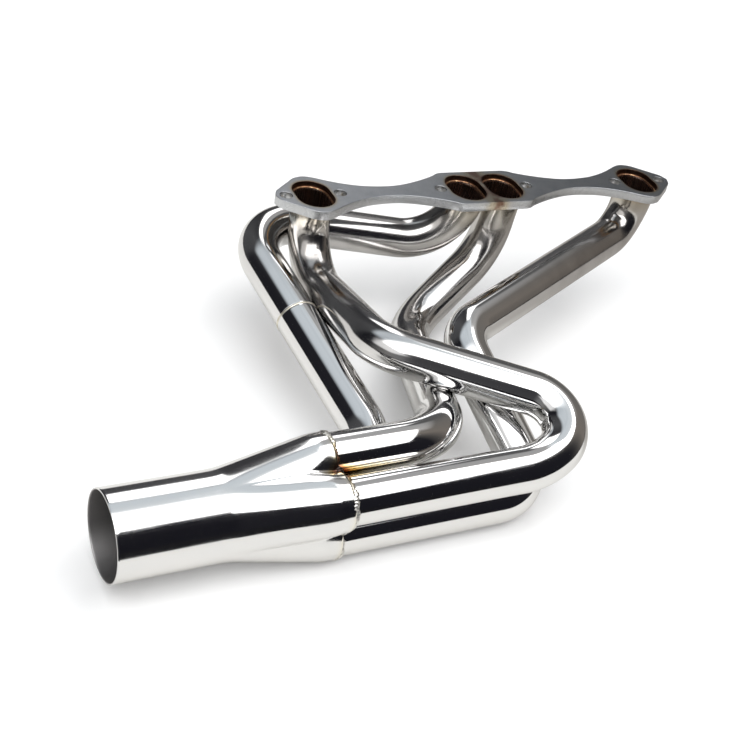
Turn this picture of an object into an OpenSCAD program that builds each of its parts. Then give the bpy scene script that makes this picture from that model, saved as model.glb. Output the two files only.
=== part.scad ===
// Four-port exhaust manifold of welded tube: a flat plate flange, four bent
// primary tubes and a four-into-one collector.
// Frame: origin at the middle of the gasket face, +Z out of that face, X along
// the row of ports, the collector outlet pointing to -X. The manifold stands on
// its lowest tubes with the gasket face up.

/* [Flange] */
// thickness of the flange plate
flange_t = 9.5; // [8:0.1:12]
// half width of the plate beside the end ports
end_pad_y = 35.5; // [33:0.1:40]
// half width of the plate beside the centre pair of ports
centre_pad_y = 32.5; // [30:0.1:36]
// half width of the two narrow waists
waist_y = 9.5; // [8.5:0.1:14]
// half length of the plate
flange_half_x = 232; // [230:0.5:236]
// distance from the middle to the centre of an end port
end_port_x = 191.8; // [190:0.1:193]
// distance from the middle to the centre of a port of the centre pair
pair_port_x = 21.8; // [21.6:0.1:22.4]
// width of a port opening along the row
port_w = 38.2; // [37:0.1:38.2]
// height of a port opening across the row
port_h = 51; // [48:0.5:52]
// depth of the straight-sided mouth of each port
port_mouth = 3; // [2:0.1:3.2]
// how far the end of each tube reaches into the plate
tube_seat = 3.5; // [3:0.1:4]
// distance from the middle to the outermost bolt holes
bolt_x_end = 220.5; // [220:0.1:222]
// distance from the middle to the inner bolt holes of the end ports
bolt_x_inner = 163; // [161:0.1:164]
// distance from the middle to the bolt holes beside the centre pair
bolt_x_pair = 50.8; // [50.5:0.1:52]
// diameter of the bolt holes
bolt_d = 12.7; // [11:0.1:13]

/* [Tube] */
// outside diameter of the primary tubes
tube_od = 41.3; // [41:0.1:41.4]
// wall thickness of the primary tubes
tube_wall = 1.6; // [1.2:0.1:2]

/* [Primary 1] */
// depth of the first bend corner below the gasket face
drop_1 = 85.7; // [84:0.1:88]
// second corner along the row
knee_1_x = -196; // [-198:0.1:-194]
// second corner across the row
knee_1_y = -195.5; // [-197:0.1:-194]
// second corner below the gasket face
knee_1_z = -46; // [-48:0.1:-44]
// third corner, where the hairpin starts, along the row
hairpin_x = -19.3; // [-21:0.1:-18]
// third corner across the row
hairpin_y = -296.4; // [-298:0.1:-295]
// third corner below the gasket face
hairpin_z = -65; // [-67:0.1:-63]
// length from the last corner to the collector mouth
run_1 = 195; // [193:0.1:197]

/* [Primary 2] */
// depth of the first bend corner below the gasket face
drop_2 = 68.9; // [68:0.1:71]
// second corner along the row
knee_2_x = -252.3; // [-254:0.1:-250]
// second corner across the row
knee_2_y = 47.1; // [45:0.1:49]
// second corner below the gasket face
knee_2_z = -48.5; // [-50:0.1:-47]
// length from the last corner to the collector mouth
run_2 = 80; // [79:0.1:82]
// how far along the long leg the butt joint sits, as a fraction
butt_at = 0.37; // [0.2:0.01:0.8]

/* [Primary 3] */
// depth of the first bend corner below the gasket face
drop_3 = 74.5; // [73:0.1:77]
// second corner along the row
knee_3_x = -88.1; // [-90:0.1:-86]
// second corner across the row
knee_3_y = -53; // [-55:0.1:-51]
// second corner below the gasket face
knee_3_z = -134.7; // [-135.2:0.1:-133]
// length from the last corner to the collector mouth
run_3 = 119; // [117:0.1:121]

/* [Primary 4] */
// depth of the first bend corner below the gasket face
drop_4 = 60.4; // [59:0.1:63]
// second corner along the row
knee_4_x = -95.5; // [-97:0.1:-94]
// second corner across the row
knee_4_y = -162.7; // [-164:0.1:-161]
// second corner below the gasket face
knee_4_z = -63.7; // [-65:0.1:-62]
// length from the last corner to the collector mouth
run_4 = 208; // [206:0.1:210]

/* [Collector] */
// centre of the collector mouth along the row
mouth_x = -286.5; // [-288:0.1:-285]
// centre of the collector mouth across the row
mouth_y = -318.6; // [-320:0.1:-317]
// centre of the collector mouth below the gasket face
mouth_z = -101.2; // [-102:0.1:-100]
// angle of the collector off the row of ports
collector_yaw = 3; // [2:0.1:4]
// spacing of neighbouring tubes in the mouth, centre to centre
bundle_pitch = 45.3; // [44.8:0.1:46]
// turn of the square of four tubes about the collector axis
bundle_turn = 30; // [27:0.5:33]
// length of the collector from mouth to outlet
collector_len = 192.5; // [180:0.5:210]
// length of the round outlet
outlet_len = 96; // [70:0.5:100]
// outside diameter of the outlet
outlet_od = 76.2; // [74:0.1:80]
// wall thickness of the collector
collector_wall = 1.6; // [1.2:0.1:1.8]
// how far the tubes reach into the collector
bundle_depth = 12; // [8:0.5:14]

/* [Welds] */
// leg of the weld fillets
weld_leg = 3; // [2:0.1:3.5]
// width of the butt weld round the long leg
butt_w = 4.5; // [3:0.1:6]
// height of the butt weld over the tube
butt_h = 0.7; // [0.3:0.1:1]

/* [Hidden] */
$fn = 72;
steel = [0.80, 0.80, 0.81];
plate_grey = [0.55, 0.56, 0.58];
bead_gold = [0.62, 0.52, 0.40];
tube_r = tube_od / 2;
bore_r = tube_r - tube_wall;
slip = 0.15;
seat_z = tube_seat - flange_t;
outlet_r = outlet_od / 2;
bundle_r = bundle_pitch / sqrt(2);
mouth = [mouth_x, mouth_y, mouth_z];
flow = [-cos(collector_yaw), -sin(collector_yaw), 0];
side = [sin(collector_yaw), -cos(collector_yaw), 0];
up = [0, 0, 1];
// the collector wall: how far its valleys stand out, the length of the sleeve round
// the tubes, the length of the formed part, and the rows and columns of the skin
lobe_floor = 5.5;
lobe_len = 16;
cone_len = collector_len - outlet_len;
cone_rows = 16;
cone_cols = 96;

// angle round the collector axis of each tube, from straight up towards -Y
spot_angle = [90 - bundle_turn, 270 - bundle_turn, -bundle_turn, 180 - bundle_turn];
function spot(n, along) =
    mouth + flow * along
    + bundle_r * (cos(spot_angle[n - 1]) * up + sin(spot_angle[n - 1]) * side);

// corners of each primary, from the port to its end inside the collector
path_1 = [
    [-end_port_x, 0, seat_z], [-end_port_x, 0, -drop_1], [knee_1_x, knee_1_y, knee_1_z],
    [hairpin_x, hairpin_y, hairpin_z], spot(1, -run_1), spot(1, bundle_depth)
];
path_2 = [
    [-pair_port_x, 0, seat_z], [-pair_port_x, 0, -drop_2], [knee_2_x, knee_2_y, knee_2_z],
    spot(2, -run_2), spot(2, bundle_depth)
];
path_3 = [
    [pair_port_x, 0, seat_z], [pair_port_x, 0, -drop_3], [knee_3_x, knee_3_y, knee_3_z],
    spot(3, -run_3), spot(3, bundle_depth)
];
path_4 = [
    [end_port_x, 0, seat_z], [end_port_x, 0, -drop_4], [knee_4_x, knee_4_y, knee_4_z],
    spot(4, -run_4), spot(4, bundle_depth)
];
function unit(v) = v / norm(v);
function heading(path, i) = unit(path[i + 1] - path[i]);
function turn_at(path, i) = acos(heading(path, i - 1) * heading(path, i));
// centreline radius of each bend, in order from the port; the first bend of the
// second primary starts at its seat and the two halves of the hairpin meet
function half_tan(path, i) = tan(turn_at(path, i) / 2);
hairpin_in_r = 36.4;
hairpin_out_r =
    (norm(path_1[4] - path_1[3]) - hairpin_in_r * half_tan(path_1, 3)) / half_tan(path_1, 4);
bends_1 = [53.3, 46.3, hairpin_in_r, hairpin_out_r];
bends_2 = [(drop_2 + seat_z) / half_tan(path_2, 1), 50.1, 60.7];
bends_3 = [61.5, 63.9, 70];
bends_4 = [39.4, 38.7, 40.5];

function setback(path, bends, i) =
    (i == 0 || i == len(path) - 1) ? 0 : bends[i - 1] * tan(turn_at(path, i) / 2);
function leg_start(path, bends, i) = path[i] + heading(path, i) * setback(path, bends, i);
function leg_end(path, bends, i) =
    path[i + 1] - heading(path, i) * setback(path, bends, i + 1);
function square_to(v) = unit(abs(v[2]) > 0.8 ? cross(v, [0, 1, 0]) : cross(v, [0, 0, 1]));

// places children with their X, Y and Z axes along the given directions
module along(origin, ax, ay, az) {
    multmatrix([
        [ax[0], ay[0], az[0], origin[0]],
        [ax[1], ay[1], az[1], origin[1]],
        [ax[2], ay[2], az[2], origin[2]],
        [0, 0, 0, 1]
    ]) children();
}

// straight pipe between two points of one leg, given as fractions of the leg
module pipe_leg(path, bends, i, from = 0, to = 1) {
    p = leg_start(path, bends, i);
    q = leg_end(path, bends, i);
    az = heading(path, i);
    ax = square_to(az);
    long = norm(q - p);
    along(p + (q - p) * from, ax, cross(az, ax), az)
        difference() {
            cylinder(h = long * (to - from), r = tube_r);
            translate([0, 0, -1])
                cylinder(h = long * (to - from) + 2, r = bore_r);
        }
}

// bent pipe round one corner of a path
module pipe_bend(path, bends, i) {
    travel = heading(path, i - 1);
    inward = unit(heading(path, i) - travel);
    turn = turn_at(path, i);
    reach = bends[i - 1] / cos(turn / 2);
    centre = path[i] + inward * reach;
    first = leg_end(path, bends, i - 1);
    ax = unit(first - centre);
    along(centre, ax, travel, cross(ax, travel))
        rotate_extrude(angle = turn)
            translate([bends[i - 1], 0])
                difference() {
                    circle(r = tube_r);
                    circle(r = bore_r);
                }
}

// points on half of one long edge of the plate, from the left end to the middle
plate_points = [
    [-flange_half_x, 0], [-228, 9.5], [-205, 30], [-198, 34], [-191, end_pad_y],
    [-182, 33], [-166, 24], [-152, 17.5], [-136, 12.3], [-120, 10], [-108, waist_y],
    [-96, 10.4], [-82, 13.6], [-66, 19], [-50, 26], [-42, 31], [-36, centre_pad_y]
];
// a smooth curve through four points, from the second to the third
function curve(a, b, c, d, t) =
    b + t * (c - a) / 2
    + t * t * (2 * a - 5 * b + 4 * c - d) / 2
    + t * t * t * (3 * b - a - 3 * c + d) / 2;
function plate_edge() = let (n = len(plate_points)) [
    for (i = [0:n - 2])
        for (t = [0:0.25:0.75])
            i < 2 ? plate_points[i] + t * (plate_points[i + 1] - plate_points[i])
            : curve(plate_points[i - 1], plate_points[i], plate_points[i + 1],
                plate_points[min(i + 2, n - 1)], t),
    plate_points[n - 1]
];
function mirrored(list) = [for (i = [len(list) - 1:-1:0]) [-list[i][0], list[i][1]]];
function flipped(list) = [for (i = [len(list) - 1:-1:0]) [list[i][0], -list[i][1]]];

module port_cut(x) {
    corner = port_h / 2 - port_w / 2;
    translate([x, 0, -port_mouth]) {
        for (s = [-1, 1])
            translate([0, s * corner, 0])
                cylinder(h = port_mouth + 1, d = port_w);
        translate([-port_w / 2, -corner, 0])
            cube([port_w, 2 * corner, port_mouth + 1]);
    }
    translate([x, 0, -flange_t - 1])
        cylinder(h = tube_seat + 1, r = tube_r + slip);
    intersection() {
        translate([x, 0, seat_z])
            cylinder(h = flange_t - tube_seat - port_mouth, r1 = tube_r, r2 = port_h / 2);
        translate([x - port_w / 2, -port_h, seat_z])
            cube([port_w, 2 * port_h, flange_t]);
    }
}

module flange() {
    top = concat(plate_edge(), mirrored(plate_edge()));
    color(plate_grey)
        difference() {
            translate([0, 0, -flange_t])
                linear_extrude(height = flange_t)
                    polygon(concat(top, flipped([for (i = [1:len(top) - 2]) top[i]])));
            for (x = [-end_port_x, -pair_port_x, pair_port_x, end_port_x])
                port_cut(x);
            for (x = [bolt_x_end, bolt_x_inner, bolt_x_pair])
                for (s = [-1, 1])
                    translate([s * x, 0, -flange_t - 1])
                        cylinder(h = flange_t + 2, d = bolt_d);
        }
}

module primary_1_stub() {
    color(steel) pipe_leg(path_1, bends_1, 0);
}

module primary_1_bend_1() {
    color(steel) pipe_bend(path_1, bends_1, 1);
}

module primary_1_leg() {
    color(steel) pipe_leg(path_1, bends_1, 1);
}

module primary_1_bend_2() {
    color(steel) pipe_bend(path_1, bends_1, 2);
}

module primary_1_brace() {
    color(steel) pipe_leg(path_1, bends_1, 2);
}

module primary_1_hairpin_in() {
    color(steel) pipe_bend(path_1, bends_1, 3);
}

module primary_1_hairpin_out() {
    color(steel) pipe_bend(path_1, bends_1, 4);
}

module primary_1_tail() {
    color(steel) pipe_leg(path_1, bends_1, 4);
}

module primary_2_bend_1() {
    color(steel) pipe_bend(path_2, bends_2, 1);
}

module primary_2_run() {
    color(steel) pipe_leg(path_2, bends_2, 1);
}

module primary_2_bend_2() {
    color(steel) pipe_bend(path_2, bends_2, 2);
}

module primary_2_leg_upper() {
    color(steel) pipe_leg(path_2, bends_2, 2, 0, butt_at);
}

module primary_2_leg_lower() {
    color(steel) pipe_leg(path_2, bends_2, 2, butt_at, 1);
}

module primary_2_bend_3() {
    color(steel) pipe_bend(path_2, bends_2, 3);
}

module primary_2_tail() {
    color(steel) pipe_leg(path_2, bends_2, 3);
}

module primary_3_stub() {
    color(steel) pipe_leg(path_3, bends_3, 0);
}

module primary_3_bend_1() {
    color(steel) pipe_bend(path_3, bends_3, 1);
}

module primary_3_leg() {
    color(steel) pipe_leg(path_3, bends_3, 1);
}

module primary_3_bend_2() {
    color(steel) pipe_bend(path_3, bends_3, 2);
}

module primary_3_drop() {
    color(steel) pipe_leg(path_3, bends_3, 2);
}

module primary_3_bend_3() {
    color(steel) pipe_bend(path_3, bends_3, 3);
}

module primary_3_tail() {
    color(steel) pipe_leg(path_3, bends_3, 3);
}

module primary_4_stub() {
    color(steel) pipe_leg(path_4, bends_4, 0);
}

module primary_4_bend_1() {
    color(steel) pipe_bend(path_4, bends_4, 1);
}

module primary_4_leg() {
    color(steel) pipe_leg(path_4, bends_4, 1);
}

module primary_4_bend_2() {
    color(steel) pipe_bend(path_4, bends_4, 2);
}

module primary_4_drop() {
    color(steel) pipe_leg(path_4, bends_4, 2);
}

module primary_4_bend_3() {
    color(steel) pipe_bend(path_4, bends_4, 3);
}

module primary_4_tail() {
    color(steel) pipe_leg(path_4, bends_4, 3);
}

// fillet ring under the plate round one tube
module port_weld(x, gap) {
    color(bead_gold)
        translate([x, 0, -flange_t])
            rotate_extrude()
                polygon([
                    [tube_r + gap, 0],
                    [tube_r + weld_leg, 0],
                    [tube_r + weld_leg * 0.55, -weld_leg * 0.55],
                    [tube_r + gap, -weld_leg]
                ]);
}

module port_weld_1() {
    port_weld(-end_port_x, 0);
}

module port_weld_2() {
    port_weld(-pair_port_x, 0.5);
}

module port_weld_3() {
    port_weld(pair_port_x, 0);
}

module port_weld_4() {
    port_weld(end_port_x, 0);
}

// low ring over the butt joint in the long leg of the second primary
module butt_weld() {
    p = leg_start(path_2, bends_2, 2);
    q = leg_end(path_2, bends_2, 2);
    az = heading(path_2, 2);
    ax = square_to(az);
    color(bead_gold)
        along(p + (q - p) * butt_at, ax, cross(az, ax), az)
            rotate_extrude()
                polygon([
                    [tube_r, -butt_w / 2],
                    [tube_r + butt_h * 0.8, -butt_w / 4],
                    [tube_r + butt_h, 0],
                    [tube_r + butt_h * 0.8, butt_w / 4],
                    [tube_r, butt_w / 2]
                ]);
}

// outline radius of the four-lobed mouth at an angle, round tubes of radius r
function lobe_r(angle, r) =
    let (a = ((angle - spot_angle[2] + 45 + 720) % 90) - 45)
    bundle_r * cos(a) + sqrt(max(r * r - pow(bundle_r * sin(a), 2), 0) + lobe_floor * lobe_floor)
    - lobe_floor * lobe_floor / (r + sqrt(r * r + lobe_floor * lobe_floor));
function smooth(t) = t * t * (3 - 2 * t);

// one ring of the cone wall, set in from the outer skin
function cone_ring(t, inset) =
    let (
        s = t * cone_len,
        w = smooth(min(max((s - lobe_len) / (cone_len - lobe_len), 0), 1))
    )
    [
        for (j = [0:cone_cols - 1])
            let (
                a = j * 360 / cone_cols,
                lobe = lobe_r(a, tube_r + slip + collector_wall),
                r = (1 - w) * lobe + w * outlet_r - inset
            )
            mouth + flow * s + r * (cos(a) * up + sin(a) * side)
    ];

// four-lobed wall closing to a round outlet: up the outside, back down the inside
module collector_cone() {
    rise = [for (i = [0:cone_rows]) i / cone_rows];
    fall = [for (i = [cone_rows:-1:0]) i / cone_rows];
    skin = concat(
        [for (t = rise) each cone_ring(t, 0)],
        [for (t = fall) each cone_ring(t, collector_wall)]
    );
    rings = 2 * (cone_rows + 1);
    walls = [
        for (i = [0:rings - 1])
            for (j = [0:cone_cols - 1])
                let (
                    k = (j + 1) % cone_cols,
                    base = i * cone_cols,
                    next = ((i + 1) % rings) * cone_cols
                )
                each [
                    [base + j, base + k, next + j],
                    [base + k, next + k, next + j]
                ]
    ];
    color(steel) polyhedron(points = skin, faces = walls);
}

module collector_outlet() {
    color(steel)
        along(mouth + flow * cone_len, up, side, flow)
            difference() {
                cylinder(h = outlet_len, r = outlet_r);
                translate([0, 0, -1])
                    cylinder(h = outlet_len + 2, r = outlet_r - collector_wall);
            }
}

// thin plate closing the gap in the middle of the four tubes
module collector_star() {
    star_r = bundle_pitch / 2 * 1.12;
    star_t = 2;
    color(steel)
        along(mouth, up, side, flow)
            difference() {
                cylinder(h = star_t, r = star_r);
                for (a = spot_angle)
                    translate([bundle_r * cos(a), bundle_r * sin(a), -1])
                        cylinder(h = star_t + 2, r = tube_r + slip);
            }
}

// weld bead round the open side of one tube where it enters the collector
module mouth_weld(n) {
    half = 82;
    color(bead_gold)
        along(spot(n, 0), up, side, flow)
            rotate([0, 0, spot_angle[n - 1] - half])
                rotate_extrude(angle = 2 * half)
                    polygon([
                        [tube_r, 0],
                        [tube_r, -weld_leg],
                        [tube_r + weld_leg * 0.5, -weld_leg * 0.75],
                        [tube_r + weld_leg * 0.8, 0]
                    ]);
}

module mouth_weld_1() {
    mouth_weld(1);
}

module mouth_weld_2() {
    mouth_weld(2);
}

module mouth_weld_3() {
    mouth_weld(3);
}

module mouth_weld_4() {
    mouth_weld(4);
}

flange();
primary_1_stub();
primary_1_bend_1();
primary_1_leg();
primary_1_bend_2();
primary_1_brace();
primary_1_hairpin_in();
primary_1_hairpin_out();
primary_1_tail();
primary_2_bend_1();
primary_2_run();
primary_2_bend_2();
primary_2_leg_upper();
primary_2_leg_lower();
primary_2_bend_3();
primary_2_tail();
primary_3_stub();
primary_3_bend_1();
primary_3_leg();
primary_3_bend_2();
primary_3_drop();
primary_3_bend_3();
primary_3_tail();
primary_4_stub();
primary_4_bend_1();
primary_4_leg();
primary_4_bend_2();
primary_4_drop();
primary_4_bend_3();
primary_4_tail();
port_weld_1();
port_weld_2();
port_weld_3();
port_weld_4();
butt_weld();
collector_cone();
collector_outlet();
collector_star();
mouth_weld_1();
mouth_weld_2();
mouth_weld_3();
mouth_weld_4();
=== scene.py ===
import math
import bpy
import numpy as np
from mathutils import Matrix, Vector
from mathutils.geometry import tessellate_polygon


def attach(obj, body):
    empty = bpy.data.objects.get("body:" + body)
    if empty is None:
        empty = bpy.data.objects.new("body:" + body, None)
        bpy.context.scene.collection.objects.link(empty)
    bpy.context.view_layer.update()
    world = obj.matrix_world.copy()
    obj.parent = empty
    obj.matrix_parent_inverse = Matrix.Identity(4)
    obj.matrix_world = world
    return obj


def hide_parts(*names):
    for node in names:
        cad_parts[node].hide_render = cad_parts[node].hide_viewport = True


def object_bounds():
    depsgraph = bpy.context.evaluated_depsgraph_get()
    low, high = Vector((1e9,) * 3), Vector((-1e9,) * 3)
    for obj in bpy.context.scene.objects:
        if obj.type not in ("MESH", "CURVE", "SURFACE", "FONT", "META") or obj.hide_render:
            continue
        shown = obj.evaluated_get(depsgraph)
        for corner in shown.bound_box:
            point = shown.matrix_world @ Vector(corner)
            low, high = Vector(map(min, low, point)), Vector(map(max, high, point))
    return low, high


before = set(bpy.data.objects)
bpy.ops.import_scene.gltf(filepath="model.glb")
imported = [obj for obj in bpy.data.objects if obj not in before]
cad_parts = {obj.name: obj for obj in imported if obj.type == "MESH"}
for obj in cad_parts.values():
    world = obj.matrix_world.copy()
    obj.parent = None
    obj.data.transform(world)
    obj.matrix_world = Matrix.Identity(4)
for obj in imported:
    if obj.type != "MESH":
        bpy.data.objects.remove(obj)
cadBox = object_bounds()
mm = 0.001
print("frame loaded:", len(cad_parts), "nodes")


def unit(v):
    v = np.asarray(v, float)
    return v / np.linalg.norm(v)


def smooth(x):
    # cubic ease from 0 to 1, flat at both ends
    x = np.clip(x, 0, 1)
    return x * x * (3 - 2 * x)


def bell(x):
    # bell curve, 1 at the middle and about a third at distance 1
    return np.exp(-np.square(x))


def waves(s, a, turns, length, seed):
    # soft surface waviness: a sum of sines along the run (s, mm) and round it (a, radians),
    # with whole numbers of turns so that the seam closes
    phases = np.random.default_rng(seed).uniform(0, 2 * math.pi, (len(turns), 2))
    return sum(
        np.sin(2 * math.pi * s / (length * (1 + 0.37 * k)) + p[0]) * np.cos(n * a + p[1])
        for k, (n, p) in enumerate(zip(turns, phases))
    ) / len(turns)


def gridFaces(rows, cols, closeRows, closeCols):
    i = np.arange(rows if closeRows else rows - 1)[:, None]
    j = np.arange(cols if closeCols else cols - 1)[None, :]
    i2, j2 = (i + 1) % rows, (j + 1) % cols
    return np.stack([i * cols + j, i * cols + j2, i2 * cols + j2, i2 * cols + j], -1).reshape(-1, 4)


def gridUv(u, v):
    # u and v have one value more than there are faces, so that a closed seam keeps its full width
    u0, u1, v0, v1 = u[:-1, None], u[1:, None], v[None, :-1], v[None, 1:]
    shape = (len(u) - 1, len(v) - 1)
    corners = [(u0, v0), (u0, v1), (u1, v1), (u1, v0)]
    return np.stack([np.stack([np.broadcast_to(a, shape), np.broadcast_to(b, shape)], -1)
                     for a, b in corners], 2).reshape(-1, 2)


def makePiece(name, points, faces, material, nodes, uv=None, marks=None, flatFaces=None):
    # points in mm; every piece rides on the one rigid body
    mesh = bpy.data.meshes.new(name)
    faces = faces if isinstance(faces, list) else faces.tolist()
    mesh.from_pydata((np.asarray(points) * mm).tolist(), [], faces)
    smoothFlags = np.ones(len(mesh.polygons), bool)
    if flatFaces is not None:
        smoothFlags[flatFaces] = False
    mesh.polygons.foreach_set("use_smooth", smoothFlags)
    if uv is not None:
        layer = mesh.uv_layers.new(name="surface")
        layer.data.foreach_set("uv", np.asarray(uv, np.float32).ravel())
    for label, values in (marks or {}).items():
        mesh.attributes.new(label, "FLOAT", "POINT").data.foreach_set(
            "value", np.asarray(values, np.float32).ravel())
    mesh.update()
    mesh.materials.append(material)
    piece = bpy.data.objects.new(name, mesh)
    bpy.context.scene.collection.objects.link(piece)
    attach(piece, "root")
    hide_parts(*nodes)


class Maker:
    def __init__(self, tree):
        self.tree = tree
        tree.nodes.clear()

    def add(self, kind, **settings):
        node = self.tree.nodes.new(kind)
        inputs = settings.pop("inputs", {})
        for key, value in settings.items():
            setattr(node, key, value)
        for key, value in inputs.items():
            if isinstance(value, bpy.types.NodeSocket):
                self.tree.links.new(value, node.inputs[key])
            else:
                node.inputs[key].default_value = value
        return node

    def math(self, operation, a, b=0.0, c=0.0, clamp=False):
        return self.add("ShaderNodeMath", operation=operation, use_clamp=clamp,
                        inputs={0: a, 1: b, 2: c}).outputs[0]

    def mix(self, factor, a, b, blend="MIX"):
        return self.add("ShaderNodeMix", data_type="RGBA", blend_type=blend,
                        inputs={0: factor, 6: a, 7: b}).outputs[2]

    def noise(self, vector, scale, detail=2.0, rough=0.5):
        return self.add("ShaderNodeTexNoise", inputs={
            "Vector": vector, "Scale": scale, "Detail": detail, "Roughness": rough}).outputs[0]

    def ramp(self, factor, stops, easing="LINEAR"):
        node = self.add("ShaderNodeValToRGB", inputs={0: factor})
        node.color_ramp.interpolation = easing
        points = node.color_ramp.elements
        while len(points) < len(stops):
            points.new(0.5)
        for point, (place, colour) in zip(points, stops):
            point.position = place
            point.color = (*colour, 1)
        return node.outputs[0]

    def mapRange(self, value, lo, hi, toLo, toHi, kind="LINEAR"):
        return self.add("ShaderNodeMapRange", interpolation_type=kind, inputs={
            "Value": value, "From Min": lo, "From Max": hi, "To Min": toLo, "To Max": toHi}).outputs[0]

    def stretch(self, vector, scale):
        return self.add("ShaderNodeMapping", inputs={"Vector": vector, "Scale": scale}).outputs[0]

    def attribute(self, name):
        return self.add("ShaderNodeAttribute", attribute_name=name).outputs["Fac"]

    def finish(self, shader):
        self.add("ShaderNodeOutputMaterial", inputs={0: shader})


def newMaterial(name):
    material = bpy.data.materials.new(name)
    material.use_nodes = True
    return material, Maker(material.node_tree)


heatColours = [  # from bare steel through straw and brown to burnt black
    (0.00, (0.80, 0.795, 0.79)), (0.12, (0.80, 0.76, 0.66)), (0.28, (0.72, 0.58, 0.34)),
    (0.45, (0.42, 0.215, 0.115)), (0.62, (0.17, 0.08, 0.05)), (0.80, (0.10, 0.075, 0.07)),
    (1.00, (0.05, 0.042, 0.04))
]


def polishedSteel(name, shine):
    # mirror polish: faint long polishing marks in the roughness and height, straw to brown
    # colours where the "warmth" mark is high, dull grey where the "inner" mark is 1
    material, m = newMaterial(name)
    uv = m.add("ShaderNodeUVMap", uv_map="surface").outputs[0]
    place = m.add("ShaderNodeTexCoord").outputs["Object"]
    heat, inner, satin = m.attribute("warmth"), m.attribute("inner"), m.attribute("satin")
    cloud = m.noise(place, 38.0, 3.0)
    marks = m.noise(m.stretch(uv, (26.0, 900.0, 1.0)), 1.0, 3.0, 0.65)
    rub = m.noise(m.stretch(uv, (1500.0, 60.0, 1.0)), 1.0, 2.0, 0.6)
    hot = m.math("MULTIPLY", heat, m.mapRange(cloud, 0.3, 0.7, 0.75, 1.2), clamp=True)
    colour = m.ramp(hot, heatColours, "EASE")
    colour = m.mix(m.mapRange(cloud, 0.35, 0.7, 0.0, 0.10), colour, (0.70, 0.72, 0.76, 1))
    dulled = m.mix(1.0, colour, (0.57, 0.55, 0.54, 1), "MULTIPLY")
    colour = m.mix(m.math("MULTIPLY", satin, m.mapRange(cloud, 0.3, 0.7, 0.55, 1.0)), colour, dulled)
    colour = m.mix(inner, colour, (*shine["innerColour"], 1))
    rough = m.math("ADD", shine["rough"], m.mapRange(marks, 0.35, 0.75, 0.0, shine["roughMarks"]))
    rough = m.math("ADD", rough, m.mapRange(rub, 0.45, 0.8, 0.0, shine["roughMarks"] * 0.7))
    rough = m.math("ADD", rough, m.mapRange(cloud, 0.45, 0.75, 0.0, shine["roughCloud"]))
    rough = m.math("ADD", rough, m.math("MULTIPLY", hot, 0.16))
    brushed = m.math("MULTIPLY", satin, m.mapRange(marks, 0.3, 0.7, 0.05, 0.13))
    rough = m.math("ADD", rough, brushed)
    rough = m.math("ADD", rough, m.math("MULTIPLY", inner, shine["innerRough"]), clamp=True)
    height = m.math("ADD", m.math("MULTIPLY", marks, 0.6), m.math("MULTIPLY", rub, 0.4))
    bump = m.add("ShaderNodeBump", inputs={
        "Strength": shine["bump"], "Distance": 0.00005, "Height": height}).outputs[0]
    m.finish(m.add("ShaderNodeBsdfPrincipled", inputs={
        "Base Color": colour, "Metallic": 1.0, "Roughness": rough, "Normal": bump}).outputs[0])
    return material


# distances in metres, and the strength of the tint at the port rims, round them and in the middle band
plateTint = {
    "straight": 0.0064, "innerPort": 0.0218, "outerPort": 0.1918, "portHalf": 0.0192,
    "rim": 0.62, "rimFade": -0.0011, "glow": 0.09, "glowFade": -0.009,
    "bandX": 0.0010, "bandWidth": 0.0105, "bandY": (0.004, 0.028), "band": (0.26, 0.60)
}


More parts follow.
